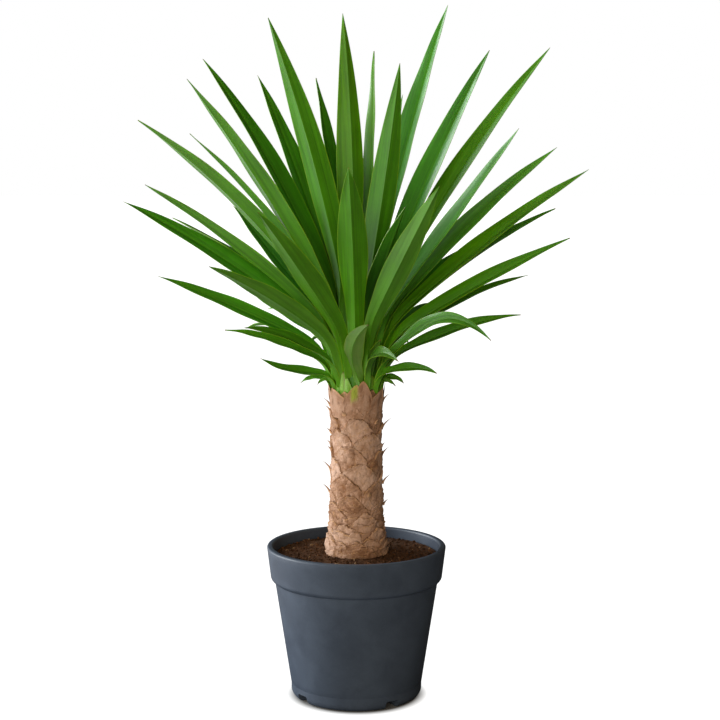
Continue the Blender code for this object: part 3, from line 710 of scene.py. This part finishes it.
def addPatch(skin, azimuth, halfAngle, low, notch, tip, tipLean, radii, thickness, draw, marks):
    # a pointed scale that hugs the stem: closed, curved, with an uneven free edge
    across, rows = 26, 13
    shift = Vector((draw.uniform(0, 50), draw.uniform(0, 50), 0))
    first = None
    for row in range(rows):
        v = row / (rows - 1)
        outside, inside = [], []
        values = {name: [] for name in skin["marks"]}
        for column in range(across + 1):
            u = 2 * column / across - 1
            angle = math.radians(azimuth + u * halfAngle)
            wobble = noise.noise(Vector((u * 5, 0, 0)) + shift) * 1.6 + noise.noise(Vector((u * 14, 3, 0)) + shift) * 0.7
            reach = abs(u - tipLean) / (1 + abs(tipLean) * (1 if u * tipLean < 0 else -1))
            top = notch + (tip - notch) * max(0.0, 1 - reach ** 1.5) + wobble * (0.4 + 0.6 * (1 - abs(u)))
            z = low + (top - low) * v
            radius = radii[0] + (radii[1] - radii[0]) * v ** 1.6 - 0.8 * u * u
            radius += noise.noise(Vector((u * 3, v * 2.5, 5)) + shift) * 0.9 + noise.noise(Vector((u * 9, v * 8, 1)) + shift) * 0.35
            outside.append(turned(radius * mm, angle, z * mm))
            inside.append(turned((radius - thickness * (1 - 0.5 * v)) * mm, angle, z * mm))
            for name, value in marks(u, v, draw).items():
                values[name].append(value)
        ring = outside + inside[::-1]
        doubled = {name: value + value[::-1] for name, value in values.items() if value}
        start = addPoints(skin, ring, **doubled)
        first = start if first is None else first
    addRings(skin, first, rows, 2 * (across + 1))


def buildCupScales(material):
    skin = newBarkSkin()
    draw = random.Random(8)
    for rows, radius in ((innerCupScales, 29.4), (cupScales, 30.6)):
        for azimuth, halfAngle, notch, tip, lean, flare, green in rows:
            def marks(u, v, draw, green=green, lean=lean):
                patch = green * smoothStep(0.45, 0.7, v) * (1 - smoothStep(0.12, 0.3, abs(u + 0.25)))
                return {"barkEdge": smoothStep(0.90, 0.99, v) * 0.9, "barkFresh": 0.8, "barkTone": 0.6 * noise.noise(
                    Vector((u * 3, v * 4, azimuth))), "barkGreen": patch,
                    # on the dry cup scales the same mark gives random darker patches
                    "barkCrevice": 0.5 * smoothStep(0.25, 0.5, noise.noise(Vector((u * 7, v * 6, azimuth + 9)))),
                    "barkTip": 0.0}
            addPatch(skin, azimuth, halfAngle, 333, notch, tip, lean, (radius, radius + 1.2 + flare), 1.0, draw, marks)
    makePiece("cup_scales", skin, material, "cane", 60)


def addThread(skin, points, thickness, tipStart=1.0, flat=1.0):
    # a tapering round or flattened thread along the points; dark from tipStart on
    sides, first = 5, None
    for number, point in enumerate(points):
        ahead = points[min(number + 1, len(points) - 1)] - points[max(number - 1, 0)]
        outward = Vector((point.x, point.y, 0)).normalized()
        across = ahead.cross(outward).normalized()
        lift = across.cross(ahead).normalized()
        share = number / (len(points) - 1)
        size = thickness * max(0.08, 1 - share ** 1.4)
        ring = [point + across * size * flat * math.cos(2 * math.pi * side / sides)
                + lift * size * math.sin(2 * math.pi * side / sides) for side in range(sides)]
        start = addPoints(skin, ring, barkEdge=max(0.0, 0.9 - share * 0.4),
                          barkTip=smoothStep(tipStart, 1.2, share) * 0.9, barkTone=0.2)
        first = start if first is None else first
    addRings(skin, first, len(points), sides)


def buildSpikes(material, scales):
    skin = newBarkSkin()
    draw = random.Random(5)
    for azimuth, height, length in spikes:
        angle = math.radians(azimuth)
        outward = turned(1, angle, 0)
        side = Vector((-math.sin(angle), math.cos(angle), 0)) * draw.choice((-1, 1))
        plain = readTable(caneProfile, min(height, 346))
        points = []
        for step in range(9):
            t = step / 8
            lean = 0.20 + 0.55 * t
            reach = length * (t * 1.05 - 0.05)
            points.append((outward * (plain + 1.2 + length * lean * t) + side * (1.6 * t * (1 - t))
                           + up * (height - 3.5 + reach * 0.86)) * mm)
        addThread(skin, points, 1.5 * mm, 0.25, 1.9)
    for scale in scales:  # loose threads along the scales' free edges
        away, sweep = draw.uniform(-0.8, 0.3), draw.uniform(0.25, 0.7)
        if draw.random() < 0.3:
            continue
        points = []
        for step in range(9):
            part = away + sweep * step / 8
            angle = scale["angle"] + part * scale["half"]
            z = scale["top"] - scale["arch"] * part * part + draw.uniform(-0.25, 0.25)
            z -= noise.noise(turned(30, angle, z) / 13) * caneShape["wander"][0]
            if z < caneShape["bottom"] + 8 or z > 345:
                break
            relief = barkPoint(scales, angle, z - 1.0)[0]
            points.append(turned((readTable(caneProfile, z) + relief + 0.2) * mm, angle, (z - 0.6) * mm))
        if len(points) > 4:
            addThread(skin, points, draw.uniform(0.22, 0.42) * mm)
    makePiece("dry_spikes", skin, material, "cane", 60)


def buildCane():
    material = buildBarkMaterial()
    scales = drawScales()
    buildBark(material, scales)
    buildCupScales(material)
    buildSpikes(material, scales)


def buildGreenSheaths():
    # broad short sheaths between the cup and the leaf bases, drying at the tip
    skin = newLeafSkin()
    draw = random.Random(21)
    for azimuth, halfAngle, notch, tip, pale in ((-123, 27, 362, 388, 1.0), (-52, 26, 362, 382, 0.15),
                                                 (8, 27, 360, 384, 0.5), (70, 26, 362, 386, 0.7),
                                                 (128, 27, 360, 384, 0.4), (184, 26, 360, 382, 0.6)):
        def marks(u, v, draw, pale=pale):
            dry = smoothStep(0.90, 0.97, v) * (1 - smoothStep(0.2, 0.5, abs(u)))
            streak = smoothStep(0.35, 0.8, v) * (1 - smoothStep(0.03, 0.10, abs(u - 0.12 + 0.1 * (1 - v)))) * 0.7
            return {"leafAcross": u * 0.98, "leafWide": u * 0.013, "leafAlong": v * 0.03, "leafLeft": 0.2,
                    "leafTone": -0.4, "leafSheath": pale * (0.55 + 0.45 * (1 - abs(u))), "leafSeed": 0.3,
                    "leafClasp": 0.6, "leafDry": max(dry, streak) * (0.4 + 0.6 * pale), "leafAge": 0.0}
        addPatch(skin, azimuth, halfAngle, 345, notch, tip, 0.0, (27.2, 28.8), 1.2, draw, marks)
    return skin


buildCane()
makePiece("green_sheaths", buildGreenSheaths(), leafMaterial, "leaf_head", 55)
print("cane built")


# soil: a crumbly surface with loose crumbs half sunk into it

soilShape = {
    "sides": 220, "rings": 46, "atWall": 167.5, "atCane": 170.5, "holeRadius": 36.8, "topRadius": 95.2,
    "bumps": 1.8, "bumpSize": 14.0, "clods": 1.1, "clodSize": 5.0, "crumbs": 1500, "crumbSmall": 0.7,
    "crumbLarge": 2.6, "seed": 3,
}


def soilHeight(x, y, share):
    level = soilShape["atCane"] + (soilShape["atWall"] - soilShape["atCane"]) * share
    fade = min(1.0, 5 * share, 8 * (1 - share))
    bumps = noise.noise(Vector((x, y, 0.37 * mm)) / (soilShape["bumpSize"] * mm)) * soilShape["bumps"] * fade
    clods = noise.fractal(Vector((x, y, 0.2)) / (soilShape["clodSize"] * mm), 0.8, 2.2, 4) * soilShape["clods"]
    return level + bumps + clods


def buildSoilMaterial():
    material, tree, shader = newMaterial("pottingSoil", {"Specular IOR Level": 0.2, "Roughness": 0.95})
    tone, chip = mark(tree, "crumbTone"), mark(tree, "crumbChip")
    cloud = useGroup(tree, mottling, {"Patch Size": 0.009, "Grain Size": 0.0009, "Grain Share": 0.55})
    colour = blendColours(tree, cloud.outputs["Both"], soilLook["dark"], soilLook["middle"])
    colour = blendColours(tree, rescale(tree, tone, 0, 1, 0.0, 0.8), colour, soilLook["reddish"])
    colour = blendColours(tree, chip, colour, soilLook["chip"])
    wire(tree, shader, colour=colour, normal=bump(tree, cloud.outputs["Both"], 0.9, 0.0012))
    return material


soilLook = {
    "dark": (0.028, 0.012, 0.006, 1), "middle": (0.095, 0.045, 0.021, 1), "reddish": (0.170, 0.075, 0.032, 1),
    "chip": (0.360, 0.220, 0.120, 1),
}


def buildSoil():
    material = buildSoilMaterial()
    draw = random.Random(soilShape["seed"])
    skin = newSkin("crumbTone", "crumbChip")
    sides = soilShape["sides"]
    angles = [2 * math.pi * side / sides for side in range(sides)]
    hole, outer = soilShape["holeRadius"], soilShape["topRadius"]
    addPoints(skin, [turned(hole * mm, angle, 89.7 * mm) for angle in angles])
    for ringNumber in range(soilShape["rings"] + 1):
        share = ringNumber / soilShape["rings"]
        radius = hole + (outer - hole) * share
        ring = []
        for angle in angles:
            flat = turned(radius * mm, angle, 0)
            ring.append(Vector((flat.x, flat.y, soilHeight(flat.x, flat.y, share) * mm)))
        addPoints(skin, ring, crumbTone=[0.35 + 0.5 * noise.noise(p / (6 * mm)) for p in ring])
    for radius, z in ((73.3, 24), (66.9, 16.3)):
        addPoints(skin, [turned(radius * mm, angle, z * mm) for angle in angles])
    addRings(skin, 0, soilShape["rings"] + 4, sides)
    ball = bmesh.new()
    bmesh.ops.create_icosphere(ball, subdivisions=1, radius=1.0)
    corners = [v.co.copy() for v in ball.verts]
    triangles = [tuple(v.index for v in f.verts) for f in ball.faces]
    ball.free()
    for number in range(soilShape["crumbs"]):
        radius = math.sqrt(draw.uniform((hole + 1.5) ** 2, (outer - 1.5) ** 2))
        angle = draw.uniform(0, 2 * math.pi)
        size = soilShape["crumbSmall"] + (soilShape["crumbLarge"] - soilShape["crumbSmall"]) * draw.random() ** 3
        flat = turned(radius * mm, angle, 0)
        share = (radius - hole) / (outer - hole)
        centre = Vector((flat.x, flat.y, (soilHeight(flat.x, flat.y, share) + size * 0.25) * mm))
        turn = Matrix.Rotation(draw.uniform(0, 3.1), 3, Vector((draw.random(), draw.random(), 1)))
        stretch = Vector((draw.uniform(0.7, 1.4), draw.uniform(0.6, 1.0), draw.uniform(0.5, 0.9)))
        points = []
        for corner in corners:
            lump = corner * draw.uniform(0.75, 1.15)
            points.append(centre + turn @ Vector((lump.x * stretch.x, lump.y * stretch.y, lump.z * stretch.z)) * size * mm)
        first = addPoints(skin, points, crumbTone=draw.random() ** 1.5, crumbChip=0.8 * (draw.random() < 0.03))
        skin["faces"] += [tuple(first + corner for corner in triangle) for triangle in triangles]
    makePiece("soil_surface", skin, material, "soil", 70)


buildSoil()
print("soil filled in")


# pot: turned shell with notches and drain holes

potShape = {
    "sides": 168, "wallAtFloor": 74.8, "taper": 0.153, "wall": 4.6, "bandBottom": 138, "bandRounding": 6,
    "bandRadius": 100.9, "rimHeight": 179.5, "rimRadius": 105, "lipWidth": 7.4, "lipRounding": 2.5,
    "footInner": 57, "footContact": 68, "footRounding": 9, "underside": 12, "floorTop": 16, "corner": 6,
    "notchWidth": 18, "notchHeight": 10.5, "notches": (-57, 35, 123, 215), "holeRadius": 5, "holeCircle": 40,
    "holes": 6, "stepLine": 16.6,
}


def arcPoints(centreR, centreZ, radius, first, last, steps):
    points = []
    for step in range(steps + 1):
        angle = math.radians(first + (last - first) * step / steps)
        points.append((centreR + radius * math.cos(angle), centreZ + radius * math.sin(angle)))
    return points


def potOutline():
    shape = potShape

    def outer(z):
        return shape["wallAtFloor"] + shape["taper"] * z

    def inner(z):
        return outer(z) - shape["wall"]

    step = shape["stepLine"]
    lipOut = shape["rimRadius"] - shape["lipRounding"]
    lipIn = shape["rimRadius"] - shape["lipWidth"] + shape["lipRounding"]
    lipZ = shape["rimHeight"] - shape["lipRounding"]
    cornerZ = shape["floorTop"] + shape["corner"]
    foot = shape["footRounding"]
    bandTop = arcPoints(lipOut, lipZ, shape["lipRounding"], 6, 90, 8)
    bandLow = arcPoints(shape["bandRadius"] - shape["bandRounding"], shape["bandBottom"] + shape["bandRounding"],
                        shape["bandRounding"], -68, 0, 8)
    bandSide = [(bandLow[-1][0] + (bandTop[0][0] - bandLow[-1][0]) * s, bandLow[-1][1] + (bandTop[0][1] - bandLow[-1][1]) * s)
                for s in (0.2, 0.4, 0.6, 0.8)]
    wallLow = [(outer(step + 0.7), step + 0.7)] + [(outer(z), z) for z in range(24, 136, 12)]
    innerWall = [(inner(z) + (lipIn - shape["lipRounding"] - inner(z)) * smoothStep(120, 172, z), z)
                 for z in range(170, 30, -14)]
    return [
        (shape["footInner"], shape["underside"]), (shape["footInner"], 1.2), (shape["footInner"] + 1.2, 0),
        *arcPoints(shape["footContact"], foot, foot, -90, 0, 10),
        (outer(step) - 0.35, step - 0.5), (outer(step) - 0.3, step), *wallLow,
        (outer(shape["bandBottom"] - 0.8), shape["bandBottom"] - 0.8),
        (outer(shape["bandBottom"]) + 0.5, shape["bandBottom"] - 0.1),
        *bandLow, *bandSide, *bandTop,
        *arcPoints(lipIn, lipZ, shape["lipRounding"], 90, 180, 8), *innerWall,
        *arcPoints(inner(cornerZ) - shape["corner"], cornerZ, shape["corner"], 0, -90, 5),
    ]


def cutBox(azimuth):
    shape = potShape
    half, corner, low = shape["notchWidth"] / 2, 2.5, -5
    section = [(-half - 0.8, low), (half + 0.8, low), (half + 0.8, 0), (half, 1.4), (half, shape["notchHeight"] - corner)]
    section += [(half - corner * 0.3, shape["notchHeight"] - corner * 0.3), (half - corner, shape["notchHeight"])]
    section += [(-x, z) for x, z in reversed(section[2:])]
    skin = newSkin()
    turn = Matrix.Rotation(math.radians(azimuth), 3, "Z")
    for radius in (shape["footInner"] - 8, shape["footContact"] + 20):
        addPoints(skin, [turn @ Vector((radius, across, z)) * mm for across, z in section])
    addRings(skin, 0, 2, len(section))
    return skin


def drainTube(x, y):
    skin = newSkin()
    for z in (potShape["underside"] - 3, potShape["floorTop"] + 3):
        addPoints(skin, [Vector((x, y, z)) * mm + turned(potShape["holeRadius"] * mm, math.pi * side / 16, 0)
                         for side in range(32)])
    addRings(skin, 0, 2, 32)
    return skin


def plainObject(name, skin):
    mesh = bpy.data.meshes.new(name)
    mesh.from_pydata(skin["points"], [], skin["faces"])
    work = bmesh.new()
    work.from_mesh(mesh)
    bmesh.ops.recalc_face_normals(work, faces=work.faces)
    work.to_mesh(mesh)
    work.free()
    made = bpy.data.objects.new(name, mesh)
    bpy.context.scene.collection.objects.link(made)
    return made


potLook = {
    "dark": (0.042, 0.056, 0.084, 1), "light": (0.066, 0.088, 0.128, 1), "dust": (0.110, 0.138, 0.185, 1),
    "worn": (0.085, 0.105, 0.140, 1), "roughness": (0.38, 0.52),
}


def buildPotMaterial():
    material, tree, shader = newMaterial("slatePlastic", {"Specular IOR Level": 0.5, "Roughness": 0.48})
    cloud = useGroup(tree, mottling, {"Patch Size": 0.035, "Grain Size": 0.0013, "Grain Share": 0.3})
    fine = useGroup(tree, mottling, {"Patch Size": 0.006, "Grain Size": 0.0006, "Grain Share": 0.6})
    colour = blendColours(tree, cloud.outputs["Both"], potLook["dark"], potLook["light"])
    colour = blendColours(tree, rescale(tree, fine.outputs["Both"], 0.62, 0.95, 0.0, 0.22), colour, potLook["dust"])
    height = addNode(tree, "ShaderNodeSeparateXYZ", {0: tree.nodes.new("ShaderNodeTexCoord").outputs["Object"]}).outputs[2]
    nearRim = rescale(tree, height, 0.1765, 0.1795, 0.0, 0.35)
    colour = blendColours(tree, nearRim, colour, potLook["worn"])
    low, high = potLook["roughness"]
    rough = rescale(tree, cloud.outputs["Both"], 0, 1, low, high)
    texture = sums(tree, "ADD", fine.outputs["Grain"], sums(tree, "MULTIPLY", cloud.outputs["Patches"], 0.6))
    wire(tree, shader, colour=colour, roughness=rough, normal=bump(tree, texture, 0.12, 0.0005))
    return material


def buildPot():
    material = buildPotMaterial()
    skin = newSkin()
    outline = potOutline()
    sides = potShape["sides"]
    for r, z in outline:
        addPoints(skin, [turned(r * mm, 2 * math.pi * side / sides, z * mm) for side in range(sides)])
    addRings(skin, 0, len(outline), sides)
    pot = plainObject("pot_shell", skin)
    cutters = bpy.data.collections.new("pot cutters")
    bpy.context.scene.collection.children.link(cutters)
    skins = [cutBox(azimuth) for azimuth in potShape["notches"]]
    for number in range(potShape["holes"] + 1):
        radius = potShape["holeCircle"] if number < potShape["holes"] else 0
        place = turned(radius, 2 * math.pi * (number + 0.5) / potShape["holes"], 0)
        skins.append(drainTube(place.x, place.y))
    for number, cutSkin in enumerate(skins):
        cutter = plainObject(f"cutter_{number}", cutSkin)
        bpy.context.scene.collection.objects.unlink(cutter)
        cutters.objects.link(cutter)
    cut = pot.modifiers.new("notches and holes", "BOOLEAN")
    cut.operation, cut.operand_type, cut.collection, cut.solver = "DIFFERENCE", "COLLECTION", cutters, "EXACT"
    bpy.context.view_layer.update()
    finished = bpy.data.meshes.new_from_object(pot.evaluated_get(bpy.context.evaluated_depsgraph_get()))
    pot.modifiers.clear()
    pot.data = finished
    for cutter in list(cutters.objects):
        bpy.data.objects.remove(cutter, do_unlink=True)
    bpy.data.collections.remove(cutters)
    dressPiece(pot, material, "pot", 32)


buildPot()
print("pot made")


# studio: pale floor, soft light from the left and front, gentle fill

studio = {
    "floorSize": 60.0, "floorColour": (0.34, 0.34, 0.34, 1), "floorLift": 0.98, "floorGlow": 0.9, "floorGloss": 0.1,
    "shadeRadius": 0.084,
    "airShown": 1.0, "airFront": 0.05, "airBack": 0.45, "airLeft": 0.75, "airGloss": 0.05, "airGlossLeft": 0.8,
    "airCool": (0.95, 0.985, 1.0, 1), "airWarm": (1.0, 0.80, 0.55, 1),
    "suns": (  # azimuth from the camera's side (left is negative), height, strength, softness, glossy, colour
        ("left window", -104, 18, 3.4, 42, True, (0.94, 0.98, 1.0)),
        ("front fill", -12, 6, 2.3, 50, False, (1.0, 0.86, 0.66)),
    ),
}


def placeSun(name, azimuth, height, strength, softness, glossy, colour):
    data = bpy.data.lights.new(name, "SUN")
    data.energy, data.angle, data.color = strength, math.radians(softness), colour
    lamp = bpy.data.objects.new(name, data)
    lamp.visible_glossy = glossy
    turn, rise = math.radians(azimuth), math.radians(height)
    lamp.location = Vector((math.sin(turn) * math.cos(rise), -math.cos(turn) * math.cos(rise), math.sin(rise))) * 3
    lamp.rotation_euler = (-lamp.location).to_track_quat("-Z", "Y").to_euler()
    bpy.context.scene.collection.objects.link(lamp)


def buildFloor():
    mesh = bpy.data.meshes.new("studio_floor")
    half = studio["floorSize"] / 2
    mesh.from_pydata([(-half, -half, 0), (half, -half, 0), (half, half, 0), (-half, half, 0)], [], [(0, 1, 2, 3)])
    floor = bpy.data.objects.new("studio_floor", mesh)
    floor.location.z = -0.0003
    material, tree, shader = newMaterial("paleFloor", {"Roughness": 0.9, "Specular IOR Level": 0.2,
                                                       "Emission Color": (1, 1, 1, 1)})
    cloud = useGroup(tree, mottling, {"Patch Size": 0.4, "Grain Size": 0.01, "Grain Share": 0.2})
    # the camera sees a white sheet, apart from the shaded spot under the pot; at the left it throws light back up
    ray = tree.nodes.new("ShaderNodeLightPath").outputs
    seen = ray["Is Camera Ray"]
    sheet = blendColours(tree, rescale(tree, cloud.outputs["Both"], 0, 1, 0, 0.05), studio["floorColour"],
                         (0.5, 0.5, 0.5, 1))
    dim = rescale(tree, ray["Is Glossy Ray"], 0, 1, 0.0, 1 - studio["floorGloss"])
    wire(tree, shader, colour=blendColours(tree, dim, sheet, (0, 0, 0, 1)))
    place = tree.nodes.new("ShaderNodeTexCoord").outputs["Object"]
    away = addNode(tree, "ShaderNodeVectorMath", {0: place}, operation="LENGTH").outputs["Value"]
    bright = rescale(tree, away, studio["shadeRadius"] - 0.012, studio["shadeRadius"], 0.0, studio["floorLift"])
    side = addNode(tree, "ShaderNodeSeparateXYZ", {0: place}).outputs[0]
    glow = rescale(tree, side, -0.15, -0.8, 0.0, studio["floorGlow"])
    strength = addNode(tree, "ShaderNodeMix", {0: seen, 2: glow, 3: bright}, data_type="FLOAT").outputs[0]
    tree.links.new(strength, shader.inputs["Emission Strength"])
    material.cycles.emission_sampling = "NONE"
    mesh.materials.append(material)
    bpy.context.scene.collection.objects.link(floor)


def buildAir():
    # white to the camera; as light it is bright behind and at the left, dim in front, warm at the right
    world = bpy.data.worlds.new("studio air")
    world.use_nodes = True
    tree = world.node_tree
    back = tree.nodes["Background"]
    direction = tree.nodes.new("ShaderNodeTexCoord").outputs["Generated"]
    parts = addNode(tree, "ShaderNodeSeparateXYZ", {0: direction}).outputs
    ray = tree.nodes.new("ShaderNodeLightPath").outputs
    seen, gloss = ray["Is Camera Ray"], ray["Is Glossy Ray"]
    around = rescale(tree, parts[1], -0.3, 0.7, studio["airFront"], studio["airBack"])
    around = sums(tree, "MULTIPLY", around, rescale(tree, gloss, 0, 1, 1.0, studio["airGloss"]))
    aside = rescale(tree, gloss, 0, 1, studio["airLeft"], studio["airGlossLeft"])
    light = sums(tree, "MULTIPLY_ADD", rescale(tree, parts[0], -0.3, -0.9), aside, around)
    warm = rescale(tree, parts[0], -0.1, 0.7)
    colour = blendColours(tree, warm, studio["airCool"], studio["airWarm"])
    tree.links.new(blendColours(tree, seen, colour, (1, 1, 1, 1)), back.inputs["Color"])
    strength = addNode(tree, "ShaderNodeMix", {0: seen, 2: light, 3: studio["airShown"]},
                       data_type="FLOAT").outputs[0]
    tree.links.new(strength, back.inputs["Strength"])
    world.cycles.sampling_method = "NONE"  # it is smooth, so the suns get all the light samples
    bpy.context.scene.world = world
    bpy.context.scene.view_settings.view_transform = "Standard"


def buildStudio():
    buildFloor()
    buildAir()
    for sun in studio["suns"]:
        placeSun(*sun)


buildStudio()
print("studio lit")
